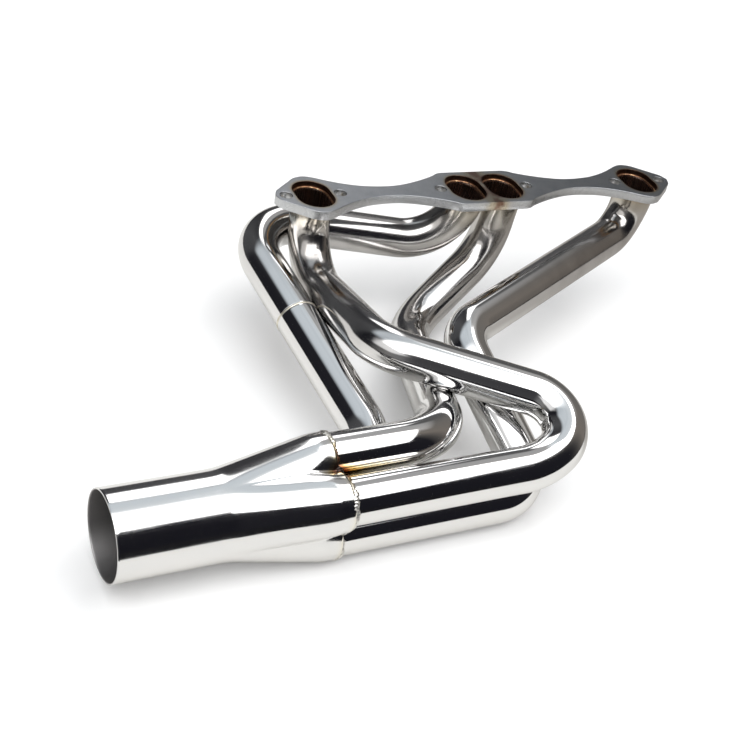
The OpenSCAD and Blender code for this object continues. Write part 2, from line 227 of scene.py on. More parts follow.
def plateSteel(name, values):
    # fine blasted grain on the faces, saw-like lines down the cut edges (mark "cut"),
    # brown tint round the ports and in a band between the centre pair, fading with distance
    material, m = newMaterial(name)
    place = m.add("ShaderNodeTexCoord").outputs["Object"]
    cut = m.attribute("cut")
    x, y, _ = m.add("ShaderNodeSeparateXYZ", inputs={0: place}).outputs
    k = plateTint
    acrossPlate = m.math("ABSOLUTE", x)
    alongPort = m.math("MAXIMUM", m.math("SUBTRACT", m.math("ABSOLUTE", y), k["straight"]), 0.0)
    toPort = m.math("MINIMUM", m.math("ABSOLUTE", m.math("SUBTRACT", acrossPlate, k["innerPort"])),
                    m.math("ABSOLUTE", m.math("SUBTRACT", acrossPlate, k["outerPort"])))
    gap = m.math("MAXIMUM", m.math("SUBTRACT", m.math("SQRT", m.math(
        "ADD", m.math("MULTIPLY", toPort, toPort), m.math("MULTIPLY", alongPort, alongPort))),
        k["portHalf"]), 0.0)
    centre = m.math("DIVIDE", m.math("SUBTRACT", x, k["bandX"]), k["bandWidth"])
    centre = m.math("EXPONENT", m.math("MULTIPLY", m.math("MULTIPLY", centre, centre), -1.0))
    centre = m.math("MULTIPLY", centre, m.mapRange(m.math("ABSOLUTE", y), *k["bandY"], *k["band"]))
    rim = m.math("MULTIPLY", m.math("EXPONENT", m.math("DIVIDE", gap, k["rimFade"])), k["rim"])
    glow = m.math("MULTIPLY", m.math("EXPONENT", m.math("DIVIDE", gap, k["glowFade"])), k["glow"])
    heat = m.math("ADD", m.math("ADD", centre, rim), glow, clamp=True)
    grain = m.noise(place, 1500.0, 3.0, 0.7)
    blot = m.noise(place, 60.0, 3.0, 0.6)
    lines = m.noise(m.stretch(place, (700.0, 700.0, 240.0)), 1.0, 3.0, 0.6)
    hot = m.math("MULTIPLY", heat, m.mapRange(blot, 0.3, 0.7, 0.6, 1.3), clamp=True)
    face = m.mix(m.mapRange(blot, 0.3, 0.7, 0.0, 1.0), (*values["faceDark"], 1), (*values["faceLight"], 1))
    face = m.mix(m.mapRange(grain, 0.35, 0.7, 0.0, 0.35), face, (0.66, 0.67, 0.69, 1))
    edge = m.mix(m.mapRange(lines, 0.35, 0.7, 0.0, 1.0), (*values["edgeDark"], 1), (*values["edgeLight"], 1))
    colour = m.mix(cut, face, edge)
    tint = m.ramp(hot, [(0.0, (1, 1, 1)), (0.3, (0.93, 0.80, 0.60)), (0.6, (0.44, 0.26, 0.18)),
                        (1.0, (0.13, 0.08, 0.06))], "EASE")
    colour = m.mix(1.0, colour, tint, "MULTIPLY")
    rough = m.math("ADD", values["rough"], m.mapRange(grain, 0.3, 0.7, -0.05, 0.07))
    rough = m.math("SUBTRACT", rough, m.math("MULTIPLY", cut, 0.06), clamp=True)
    height = m.math("ADD", m.math("MULTIPLY", grain, 0.6),
                    m.math("MULTIPLY", m.math("MULTIPLY", lines, cut), 0.9))
    bump = m.add("ShaderNodeBump", inputs={
        "Strength": 0.35, "Distance": 0.00012, "Height": height}).outputs[0]
    m.finish(m.add("ShaderNodeBsdfPrincipled", inputs={
        "Base Color": colour, "Metallic": 1.0, "Roughness": rough, "Normal": bump}).outputs[0])
    return material


def beadSteel(name, values):
    # weld metal: grey and straw patches, brown where the "warmth" mark is high
    material, m = newMaterial(name)
    place = m.add("ShaderNodeTexCoord").outputs["Object"]
    heat = m.attribute("warmth")
    blot = m.noise(place, 260.0, 4.0, 0.65)
    hot = m.math("MULTIPLY", heat, m.mapRange(blot, 0.3, 0.7, 0.6, 1.3), clamp=True)
    colour = m.ramp(hot, heatColours, "EASE")
    colour = m.mix(m.mapRange(blot, 0.45, 0.7, 0.0, 0.5), colour, (*values["soot"], 1))
    rough = m.mapRange(blot, 0.3, 0.7, values["rough"], values["rough"] + 0.3)
    bump = m.add("ShaderNodeBump", inputs={
        "Strength": 0.5, "Distance": 0.0002, "Height": blot}).outputs[0]
    m.finish(m.add("ShaderNodeBsdfPrincipled", inputs={
        "Base Color": colour, "Metallic": 1.0, "Roughness": rough, "Normal": bump}).outputs[0])
    return material


tubeShine = {"rough": 0.045, "roughMarks": 0.05, "roughCloud": 0.03, "bump": 0.10,
             "innerColour": (0.38, 0.28, 0.235), "innerRough": 0.05}
collectorShine = {"rough": 0.060, "roughMarks": 0.08, "roughCloud": 0.02, "bump": 0.12,
                  "innerColour": (0.34, 0.33, 0.33), "innerRough": 0.42}
tubeSteel = polishedSteel("polishedTube", tubeShine)
collectorSteel = polishedSteel("polishedCollector", collectorShine)
flangeSteel = plateSteel("blastedPlate", {
    "faceDark": (0.13, 0.14, 0.155), "faceLight": (0.185, 0.195, 0.21),
    "edgeDark": (0.54, 0.55, 0.565), "edgeLight": (0.63, 0.64, 0.655), "rough": 0.33})
weldSteel = beadSteel("weldBead", {"soot": (0.10, 0.09, 0.085), "rough": 0.22})
print("materials made")


collector = {
    "mouth": np.array([-286.5, -318.6, -101.2]), "yaw": 3.0, "pitch": 45.3, "turn": 30.0,
    "length": 192.5, "pipeLength": 96.0, "pipeR": 38.1, "wall": 1.6, "sleeve": 12.0,
    "valley": 24.0, "valleyRise": 36.0, "valleyRun": 34.0,
    "burnR": 34, "burnTint": 0.60, "burnWidth": 10.0, "rimTint": 0.12, "rimFade": 3.0, "aimR": 26,
    "depth": 12.0, "soft": 0.06, "slip": 0.15, "waves": 0.05, "columns": 192, "step": 1.6
}
yaw = math.radians(collector["yaw"])
flow = np.array([-math.cos(yaw), -math.sin(yaw), 0])
across = np.array([math.sin(yaw), -math.cos(yaw), 0])
upward = np.array([0.0, 0.0, 1.0])
bundleR = collector["pitch"] / math.sqrt(2)
spotAngles = np.radians([90 - collector["turn"], 270 - collector["turn"],
                         -collector["turn"], 180 - collector["turn"]])
# the burnt valley lies between tubes 1 and 3
valleyAngle = (spotAngles[0] + spotAngles[2]) / 2
valleyWay = math.cos(valleyAngle) * upward + math.sin(valleyAngle) * across


def spot(n, alongFlow):
    a = spotAngles[n - 1]
    return collector["mouth"] + flow * alongFlow + bundleR * (math.cos(a) * upward + math.sin(a) * across)


tube = {
    "outerR": 20.65, "wall": 1.6, "seatZ": -6.0, "endR": 18.95, "endCorner": 5.6,
    "formLength": 42.0, "columns": 96, "step": 2.4, "satinFrom": 60.0, "satinOver": 330.0,
    "bendOut": 0.55, "bendIn": 0.35, "bendWaves": 0.07, "waves": 0.03, "tightR": 42.0
}
primaries = {
    1: {"corners": [[-191.8, 0, tube["seatZ"]], [-191.8, 0, -85.7], [-196, -195.5, -46],
                    [-19.3, -296.4, -65], spot(1, -195), spot(1, 12)], "radii": [53.3, 46.3, 36.4, None]},
    2: {"corners": [[-21.8, 0, tube["seatZ"]], [-21.8, 0, -68.9], [-252.3, 47.1, -48.5],
                    spot(2, -80), spot(2, 12)], "radii": [None, 50.1, 60.7]},
    3: {"corners": [[21.8, 0, tube["seatZ"]], [21.8, 0, -74.5], [-88.1, -53, -134.7],
                    spot(3, -119), spot(3, 12)], "radii": [61.5, 63.9, 70]},
    4: {"corners": [[191.8, 0, tube["seatZ"]], [191.8, 0, -60.4], [-95.5, -162.7, -63.7],
                    spot(4, -208), spot(4, 12)], "radii": [39.4, 38.7, 40.5]},
}


def halfTan(corners, i):
    a, b = unit(corners[i] - corners[i - 1]), unit(corners[i + 1] - corners[i])
    return math.tan(math.acos(np.clip(a @ b, -1, 1)) / 2)


for primary in primaries.values():
    primary["corners"] = np.array([np.asarray(c, float) for c in primary["corners"]])
# the two bends of the hairpin meet, and the first bend of tube 2 starts at its seat
hairpin = primaries[1]
hairpin["radii"][3] = (np.linalg.norm(hairpin["corners"][4] - hairpin["corners"][3])
                       - hairpin["radii"][2] * halfTan(hairpin["corners"], 3)
                       ) / halfTan(hairpin["corners"], 4)
seatToCorner = 62.9  # mm from tube 2's seat to its first corner, all of it bend
primaries[2]["radii"][0] = seatToCorner / halfTan(primaries[2]["corners"], 1)


def turned(v, axis, angles):
    # a vector turned about an axis by each of several angles
    c, s = np.cos(angles)[:, None], np.sin(angles)[:, None]
    return v * c + np.cross(axis, v) * s + axis * (axis @ v) * (1 - c)


def bentPath(corners, radii, step):
    # straight legs joined by arcs: position, heading and side of each point, distance run,
    # and for each bend its middle, half length, radius and inward angle round the tube
    count = len(corners)
    headings = [unit(corners[i + 1] - corners[i]) for i in range(count - 1)]
    cutBack = [0.0] + [radii[i - 1] * halfTan(corners, i) for i in range(1, count - 1)] + [0.0]
    side = np.array([1.0, 0, 0])  # every tube starts straight down
    points, ways, sides, runs, bends = [], [], [], [], []
    run = 0.0
    for i in range(count - 1):
        start = corners[i] + headings[i] * cutBack[i]
        length = np.linalg.norm(corners[i + 1] - headings[i] * cutBack[i + 1] - start)
        if length > 0.01:
            t = np.linspace(0, length, max(2, int(length / step) + 1), endpoint=False)
            points.append(start + t[:, None] * headings[i])
            ways.append(np.broadcast_to(headings[i], points[-1].shape))
            sides.append(np.broadcast_to(side, points[-1].shape))
            runs.append(run + t)
            run += length
        if i < count - 2:
            turn = 2 * math.atan(halfTan(corners, i + 1))
            radius = radii[i]
            axis = unit(np.cross(headings[i], headings[i + 1]))
            toCentre = np.cross(axis, headings[i])
            first = corners[i + 1] - headings[i] * cutBack[i + 1]
            centre = first + toCentre * radius
            angles = np.linspace(0, turn, max(4, int(turn * radius / step) + 1), endpoint=False)
            points.append(centre + turned(-toCentre * radius, axis, angles))
            ways.append(turned(headings[i], axis, angles))
            sides.append(turned(side, axis, angles))
            runs.append(run + angles * radius)
            around = math.atan2(toCentre @ np.cross(headings[i], side), toCentre @ side)
            bends.append({"middle": run + turn * radius / 2, "half": turn * radius / 2,
                          "radius": radius, "around": around, "turn": turn})
            side = turned(side, axis, np.array([turn]))[0]
            run += turn * radius
    points.append(corners[-1][None])
    ways.append(headings[-1][None])
    sides.append(side[None])
    runs.append(np.array([run]))
    return (np.concatenate(points), np.concatenate(ways), np.concatenate(sides),
            np.concatenate(runs), bends)


def obround(a, radius, corner):
    # radius of an obround outline at an angle: straight sides joined by half circles
    c, s = np.abs(np.cos(a)), np.abs(np.sin(a))
    flat = radius * s <= corner * c
    cap = corner * s + np.sqrt(np.maximum(radius ** 2 - (corner * c) ** 2, 0))
    return np.where(flat, radius / np.maximum(c, 1e-6), cap)


# dents on the inner side of a bend: which bend, length (mm), width (radians), depth (mm)
dents = {
    1: [{"bend": 0, "length": 5.0, "width": 0.5, "depth": 0.5},
        {"bend": 2, "length": 5.0, "width": 0.5, "depth": 1.2},
        {"bend": 3, "length": 5.0, "width": 0.5, "depth": 0.7}],
    3: [{"bend": 0, "length": 7.0, "width": 0.5, "depth": 0.5},
        {"bend": 1, "length": 7.0, "width": 0.5, "depth": 0.9},
        {"bend": 2, "length": 7.0, "width": 0.45, "depth": 0.9}],
    4: [{"bend": 0, "length": 4.5, "width": 0.4, "depth": 0.6}],
}


def tubeRadius(number, s, a, bends):
    # round tube, formed to the port's oval over its first part, with slightly flattened
    # outer walls in the bends and the dents and folds listed for this tube
    base = obround(a, tube["endR"], tube["endCorner"])
    r = base + (tube["outerR"] - base) * smooth(s / tube["formLength"])
    for i, bend in enumerate(bends):
        near = smooth(1.25 - np.abs(s - bend["middle"]) / (bend["half"] + 1e-6))
        tight = min(1.0, tube["tightR"] / bend["radius"]) * min(1.0, bend["turn"])
        facing = np.cos(a - bend["around"])
        r = r - near * tight * (tube["bendOut"] * np.clip(-facing, 0, 1) ** 2
                                - tube["bendIn"] * np.clip(facing, 0, 1) ** 2)
        r = r + near * tight * tube["bendWaves"] * waves(s, a, (1, 2, 3), 34.0, 50 + 7 * number + i)
    for dent in dents.get(number, []):
        bend = bends[dent["bend"]]
        u = (s - bend["middle"]) / dent["length"]
        v = (np.mod(a - bend["around"] + math.pi, 2 * math.pi) - math.pi) / dent["width"]
        r = r - dent["depth"] * bell(u) * bell(v)
    return r + tube["waves"] * waves(s, a, (0, 1, 2, 3), 120.0, 90 + number)


# strength of each tint and the distance (mm) over which it fades; burnWidth is in radians
tubeTint = {
    "plate": 0.22, "plateFade": 10.0, "whole": 0.05, "wholeFade": 110.0, "burn": 0.95, "burnFade": 9.0,
    "gold": 0.34, "goldFade": 38.0, "rim": 0.16, "rimFade": 2.0, "burnWidth": 0.55, "farTubes": 0.15
}


def valleySide(number, a):
    # 1 along the line of the tube that faces the valley between tubes 1 and 3
    cardPaintedShade = np.mod(a - mouthFacing[number] + math.pi, 2 * math.pi) - math.pi
    return bell(cardPaintedShade / tubeTint["burnWidth"]) * (1.0 if number in (1, 3) else tubeTint["farTubes"])


def tubeHeat(number, s, a, total):
    # straw tint below the plate, and brown then gold beside the burnt valley of the collector weld
    k = tubeTint
    port = k["plate"] * np.exp(-(s - 3) / k["plateFade"]) + k["whole"] * np.exp(-s / k["wholeFade"])
    toMouth = np.clip(total - collector["depth"] - s, 0, None)
    weld = k["burn"] * np.exp(-toMouth / k["burnFade"]) + k["gold"] * np.exp(-toMouth / k["goldFade"])
    rim = k["rim"] * np.exp(-toMouth / k["rimFade"])
    return np.clip(port + weld * valleySide(number, a) + rim, 0, 1)


# rounding of a wall's end: distance in from the end, and in from the skin
endCorner = np.array([(0.18, 0.06), (0.05, 0.2), (0.0, 0.5)])


def wallRows(count, wall):
    # rows of a pipe wall: down the outside, round the far end, back up the inside, round the near end;
    # for each row the path place it uses, its step along the path, its depth and how far inside it is
    middle = np.arange(1, count - 1)
    ahead, deep = endCorner[:, 0], endCorner[:, 1]
    still = np.zeros(len(middle))
    place = np.concatenate([middle, [count - 1] * 6, middle[::-1], [0] * 6])
    shift = np.concatenate([still, -ahead, -ahead[::-1], still, ahead, ahead[::-1]])
    inset = np.concatenate([still, deep, wall - deep[::-1], still + wall, wall - deep, deep[::-1]])
    within = np.concatenate([still, [0, 0, 0, 0.5, 1, 1], still + 1, [1, 1, 1, 0, 0, 0]])
    return place, shift, inset, within


def surfaceUv(runs, inset, a, radius):
    # metres along the wall and metres round it
    gaps = np.hypot(np.diff(runs, append=runs[:1]), np.diff(inset, append=inset[:1]))
    return gridUv(np.concatenate([[0], np.cumsum(gaps)]) * mm, np.append(a, 2 * math.pi) * radius * mm)


mouthFacing = {}
tubeNodes = {
    1: ["stub", "bend_1", "leg", "bend_2", "brace", "hairpin_in", "hairpin_out", "tail"],
    3: ["stub", "bend_1", "leg", "bend_2", "drop", "bend_3", "tail"],
    4: ["stub", "bend_1", "leg", "bend_2", "drop", "bend_3", "tail"],
}
paths = {}
for number, primary in primaries.items():
    path = bentPath(primary["corners"], primary["radii"], tube["step"])
    paths[number] = path
    ways, sides = path[1:3]
    # the way round the tube's end that looks at the burnt valley
    toward = collector["mouth"] + valleyWay * collector["aimR"] - spot(number, 0)
    endThird = np.cross(ways[-1], sides[-1])
    mouthFacing[number] = math.atan2(toward @ endThird, toward @ sides[-1])


def cutPath(path, start, stop):
    points, ways, sides, runs = path[:4]
    keep = np.where((runs >= start - 1e-6) & (runs <= stop + 1e-6))[0]
    return points[keep], ways[keep], sides[keep], runs[keep]


def tubePiece(number, name, start, stop, parts):
    bends, total = paths[number][4], paths[number][3][-1]
    points, ways, sides, runs = cutPath(paths[number], start, stop)
    a = np.arange(tube["columns"]) * 2 * math.pi / tube["columns"]
    place, shift, inset, within = wallRows(len(runs), tube["wall"])
    run = runs[place] + shift
    s, turnGrid = run[:, None] + 0 * a, a + 0 * run[:, None]
    r = tubeRadius(number, s, turnGrid, bends) - inset[:, None]
    thirds = np.cross(ways, sides)[place][:, None]
    centres = (points[place] + ways[place] * shift[:, None])[:, None]
    grid = centres + sides[place][:, None] * (r * np.cos(a))[..., None] + thirds * (r * np.sin(a))[..., None]
    marks = {"warmth": tubeHeat(number, s, turnGrid, total), "inner": within[:, None] + 0 * s,
             "satin": 1 - smooth((s - tube["satinFrom"]) / tube["satinOver"])}
    makePiece(name, grid.reshape(-1, 3), gridFaces(len(run), len(a), True, True), tubeSteel,
              [f"primary_{number}_{part}" for part in parts],
              surfaceUv(run, inset, a, tube["outerR"]), marks)


for number, parts in tubeNodes.items():
    tubePiece(number, f"primary_{number}", 0, math.inf, parts)
# tube 2 is two lengths joined by a seam weld part of the way down its long leg
path2 = paths[2]
legStart = path2[4][1]["middle"] + path2[4][1]["half"]
legStop = path2[4][2]["middle"] - path2[4][2]["half"]
seamPlace = 0.37  # share of the long leg above the seam
seamRun = legStart + seamPlace * (legStop - legStart)
near = np.argmin(np.abs(path2[3] - seamRun))
seamRun = path2[3][near]
tubePiece(2, "primary_2_upper", 0, seamRun, ["bend_1", "run", "bend_2", "leg_upper"])
tubePiece(2, "primary_2_lower", seamRun, math.inf, ["leg_lower", "bend_3", "tail"])
print("primary tubes made")


def lobeRadius(a, r, floor):
    # outline round four round tubes, its valleys kept out by a soft floor
    fold = np.mod(a - spotAngles[2] + math.pi / 4, math.pi / 2) - math.pi / 4
    return (bundleR * np.cos(fold)
            + np.sqrt(np.maximum(r * r - (bundleR * np.sin(fold)) ** 2, 0) + floor ** 2)
            - floor ** 2 / (r + np.sqrt(r * r + floor ** 2)))


def easedRamp(t, soft):
    # straight ramp from 0 to 1 with rounded ends
    return 0.5 + 0.5 * (np.sqrt(t * t + soft ** 2) - np.sqrt((t - 1) ** 2 + soft ** 2))


def collectorRadius(s, a, inset):
    # the sleeve hugs the tubes, its valleys rise along the cone, and the cone closes to the pipe
    cone = collector["length"] - collector["pipeLength"]
    t = (s - collector["sleeve"]) / (cone - collector["sleeve"])
    soft = collector["soft"]
    low, high = easedRamp(-0.25, soft), easedRamp(1.35, soft)
    w = np.clip((easedRamp(t, soft) - low) / (high - low), 0, 1)
    rise = collector["valley"] + collector["valleyRise"] * smooth(s / collector["valleyRun"])
    lobe = lobeRadius(a, tube["outerR"] + collector["slip"] + collector["wall"], rise)
    return (1 - w) * lobe + w * collector["pipeR"] - inset


valleyPoint = collector["mouth"] + valleyWay * collector["burnR"]


def makeCollector():
    # one skin from the mouth to the outlet: its radius at each station and angle, and a thin inner wall
    a = np.arange(collector["columns"]) * 2 * math.pi / collector["columns"]
    stations = np.linspace(0, collector["length"], int(collector["length"] / collector["step"]))
    place, shift, inset, within = wallRows(len(stations), collector["wall"])
    run = stations[place] + shift
    s, turnGrid = run[:, None] + 0 * a, a + 0 * run[:, None]
    r = collectorRadius(s, turnGrid, inset[:, None])
    r = r + collector["waves"] * (1 - within[:, None]) * waves(s, turnGrid, (0, 1, 2, 3), 90.0, 5)
    grid = (collector["mouth"] + flow * s[..., None]
            + upward * (r * np.cos(a))[..., None] + across * (r * np.sin(a))[..., None])
    nearValley = np.linalg.norm(grid - valleyPoint, axis=2)
    heat = (collector["rimTint"] * np.exp(-s / collector["rimFade"])
            + collector["burnTint"] * bell(nearValley / collector["burnWidth"]))
    makePiece("collector_skin", grid.reshape(-1, 3), gridFaces(len(run), len(a), True, True),
              collectorSteel, ["collector_cone", "collector_outlet"],
              surfaceUv(run, inset, a, collector["pipeR"]),
              {"warmth": heat * (1 - within[:, None]), "inner": within[:, None] + 0 * s})


makeCollector()
print("collector made")


beadShape = {
    "columns": 20, "scallop": 0.7, "puddle": 0.30, "drift": 0.12, "sideDrift": 0.15, "sidePuddle": 0.06,
    "endRun": 1.2, "endSize": 0.12
}


def bead(centres, outs, wides, height, width, pitch, heat, closed, seed):
    # weld bead: an oval section carried along the seam, swelling once for every puddle
    k = beadShape
    rows, columns = len(centres), k["columns"]
    steps = np.linalg.norm(np.diff(centres, axis=0, append=centres[:1]), axis=1)
    run = np.concatenate([[0], np.cumsum(steps[:-1])])
    c = np.arange(columns) * 2 * math.pi / columns
    draw = np.random.default_rng(seed)
    whole = run[-1] + (steps[-1] if closed else 0)
    phase = 2 * math.pi * max(3, round(whole / pitch)) * run / whole
    drift = sum(draw.uniform(0.3, 1) * np.sin(2 * math.pi * n * run / whole + draw.uniform(0, 6.3))
                for n in (1, 2, 3, 5, 8)) / 3
    puddle = 0.5 + 0.5 * np.cos(phase[:, None] + k["scallop"] * np.cos(c)[None] ** 2 + drift[:, None])
    swell = 1 + k["puddle"] * puddle + k["drift"] * drift[:, None]
    if not closed:
        ends = smooth(run / (k["endRun"] * width)) * smooth((whole - run) / (k["endRun"] * width))
        swell = swell * (k["endSize"] + (1 - k["endSize"]) * ends)[:, None]
    halfWidth = (width / 2 * (1 + k["sideDrift"] * drift)[:, None] * (1 + k["sidePuddle"] * puddle)
                 * (1 if closed else swell))
    grid = (centres[:, None] + outs[:, None] * (height * swell * np.sin(c))[..., None]
            + wides[:, None] * (halfWidth * np.cos(c))[..., None])
    blocks = [gridFaces(rows, columns, closed, True)]
    points = grid.reshape(-1, 3)
    if not closed:
        first, last = len(points), len(points) + 1
        points = np.concatenate([points, [grid[0].mean(0)], [grid[-1].mean(0)]])
        j, lastRow = np.arange(columns), (rows - 1) * columns
        blocks.append(np.stack([(j + 1) % columns, j, np.full(columns, first)], 1))
        blocks.append(np.stack([lastRow + j, lastRow + (j + 1) % columns, np.full(columns, last)], 1))
    # make the faces look outwards whichever way the seam runs
    if np.cross(wides[0], outs[0]) @ (centres[1] - centres[0]) < 0:
        blocks = [block[:, ::-1] for block in blocks]
    return points, blocks, heat(points)


def weldPiece(name, beads, nodes):
    # one piece from one or more beads
    faces, base = [], 0
    for points, blocks, _ in beads:
        for block in blocks:
            faces += (block + base).tolist()
        base += len(points)
    makePiece(name, np.concatenate([b[0] for b in beads]), faces, weldSteel, nodes,
              marks={"warmth": np.concatenate([b[2] for b in beads])})


mouthWeld = {
    "height": 1.7, "width": 4.6, "pitch": 2.6, "spread": 96.0, "back": 0.6, "proud": 0.3,
    "wiggles": [(0.55, 7, 1), (0.4, 17, 2), (0.25, 41, 0)],  # size (mm), waves round, shift for each tube
    "fillHalf": 8.5, "fillR": 33.5, "fillHeight": 4.0, "fillWidth": 6.5, "fillBack": 0.4,
    "tint": 0.05, "burn": 0.95, "burnR": 17.0
}


def mouthHeat(points):
    d = np.linalg.norm(points - valleyPoint, axis=1)
    return np.clip(mouthWeld["tint"] + mouthWeld["burn"] * bell(d / mouthWeld["burnR"]), 0, 1)


def evenHeat(value):
    return lambda points: np.full(len(points), value)


for number in (1, 2, 3, 4):
    k = mouthWeld
    t = np.radians(np.linspace(-k["spread"], k["spread"], 110)) + spotAngles[number - 1]
    out = np.cos(t)[:, None] * upward + np.sin(t)[:, None] * across
    wiggle = sum(size * np.sin(count * t + shift * number) for size, count, shift in k["wiggles"])
    seam = spot(number, 0) + out * (tube["outerR"] + k["proud"]) + flow * (wiggle - k["back"])[:, None]
    # a short thick bead fills the valley on one side of each tube
    valley = spotAngles[number - 1] + math.pi / 4
    outward = math.cos(valley) * upward + math.sin(valley) * across
    sideways = math.cos(valley) * across - math.sin(valley) * upward
    along = np.linspace(-k["fillHalf"], k["fillHalf"], 40)[:, None]
    line = collector["mouth"] + outward * k["fillR"] + along * sideways - flow * k["fillBack"]
    weldPiece(f"mouth_bead_{number}", [
        bead(seam, out, np.broadcast_to(flow, out.shape), k["height"], k["width"], k["pitch"],
             mouthHeat, False, 30 + number),
        bead(line, np.broadcast_to(outward, line.shape), np.broadcast_to(flow, line.shape),
             k["fillHeight"], k["fillWidth"], k["pitch"], mouthHeat, False, 40 + number)
    ], [f"mouth_weld_{number}"])

portX = [-191.8, -21.8, 21.8, 191.8]
portWeld = {
    "pitch": 3.0, "under": {"z": -10.3, "out": 0.5, "height": 1.68, "width": 3.12, "tint": 0.42, "seed": 60},
    "inside": {"z": -5.75, "out": -0.4, "height": 1.2, "width": 1.8, "tint": 0.50, "seed": 70}
}
for number, x in enumerate(portX, 1):
    a = np.linspace(0, 2 * math.pi, 160, endpoint=False)
    around = np.stack([np.cos(a), np.sin(a), 0 * a], 1)
    beads = []
    for k in (portWeld["under"], portWeld["inside"]):
        ring = around * obround(a, tube["endR"] + k["out"], tube["endCorner"])[:, None] + [x, 0, k["z"]]
        beads.append(bead(ring, around, np.broadcast_to(upward, ring.shape), k["height"], k["width"],
                          portWeld["pitch"], evenHeat(k["tint"]), True, k["seed"] + number))
    weldPiece(f"port_bead_{number}", beads, [f"port_weld_{number}"])

seamWeld = {"height": 0.42, "width": 2.3, "pitch": 2.0, "sink": 0.05, "tint": 0.14}
points, ways, sides = path2[:3]
a = np.linspace(0, 2 * math.pi, 150, endpoint=False)
third = np.cross(ways[near], sides[near])
out = np.cos(a)[:, None] * sides[near] + np.sin(a)[:, None] * third
ring = points[near] + out * (tube["outerR"] - seamWeld["sink"])
weldPiece("seam_bead", [bead(ring, out, np.broadcast_to(ways[near], out.shape), seamWeld["height"],
                             seamWeld["width"], seamWeld["pitch"], evenHeat(seamWeld["tint"]), True, 81)],
          ["butt_weld"])
print("welds made")


plate = {
    "thickness": 9.5, "edge": 0.55, "holeEdge": 0.4, "spacing": 1.3, "portW": 38.2, "portH": 51.0,
    "mouthDepth": 3.0, "taper": 3.2, "seatGap": 0.12,
    "boltR": 6.35, "boltX": [-220.5, -163.0, -50.8, 50.8, 163.0, 220.5],
    "outline": [[-232, 0], [-228, 9.5], [-205, 30], [-198, 34], [-191, 35.5], [-182, 33],
                [-166, 24], [-152, 17.5], [-136, 12.3], [-120, 10], [-108, 9.5], [-96, 10.4],
                [-82, 13.6], [-66, 19], [-50, 26], [-42, 31], [-36, 32.5]]
}


def plateLoop(spacing):
    # the outline points joined by a smooth curve, mirrored both ways and spaced evenly
    p = np.array(plate["outline"], float)
    pieces = [p[i] + t * (p[i + 1] - p[i]) for i in range(2) for t in (0, 0.25, 0.5, 0.75)]
    t = np.linspace(0, 1, 12, endpoint=False)[:, None]
    curve = [np.array(pieces)]
    for i in range(2, len(p) - 1):
        a, b, c, d = p[i - 1], p[i], p[i + 1], p[min(i + 2, len(p) - 1)]
        curve.append(b + t * (c - a) / 2 + t * t * (2 * a - 5 * b + 4 * c - d) / 2
                     + t ** 3 * (3 * b - a - 3 * c + d) / 2)
    quarter = np.concatenate(curve + [p[-1:]])
    upper = np.concatenate([quarter, (quarter * [-1, 1])[::-1]])
    loop = np.concatenate([upper, (upper[1:-1] * [1, -1])[::-1]])
    closed = np.concatenate([loop, loop[:1]])
    gap = np.linalg.norm(np.diff(closed, axis=0), axis=1)
    run = np.concatenate([[0], np.cumsum(gap)])
    even = np.linspace(0, run[-1], int(run[-1] / spacing), endpoint=False)
    loop = np.stack([np.interp(even, run, closed[:, k]) for k in (0, 1)], 1)
    for _ in range(2):
        loop = (np.roll(loop, 1, 0) + 2 * loop + np.roll(loop, -1, 0)) / 4
    return loop[::-1]


def outwardOf(loop):
    # unit vectors square to an anticlockwise loop
    step = np.roll(loop, -1, 0) - np.roll(loop, 1, 0)
    n = np.stack([step[:, 1], -step[:, 0]], 1)
    return n / np.linalg.norm(n, axis=1)[:, None]


def cornerRound(e):
    # quarter-round corner of size e: distance in from the wall, and height
    return [(e, 0.0), (e * 0.62, -e * 0.07), (e * 0.29, -e * 0.29), (e * 0.07, -e * 0.62), (0.0, -e)]


def throughProfile(e, rest):
    # profile of a wall through the plate: a flat margin, a rounded corner, the wall, and the same below
    t, corner = plate["thickness"], cornerRound(e)
    return [(e + rest, 0.0)] + corner + [(d, -t - z) for d, z in reversed(corner)] + [(e + rest, -t)]


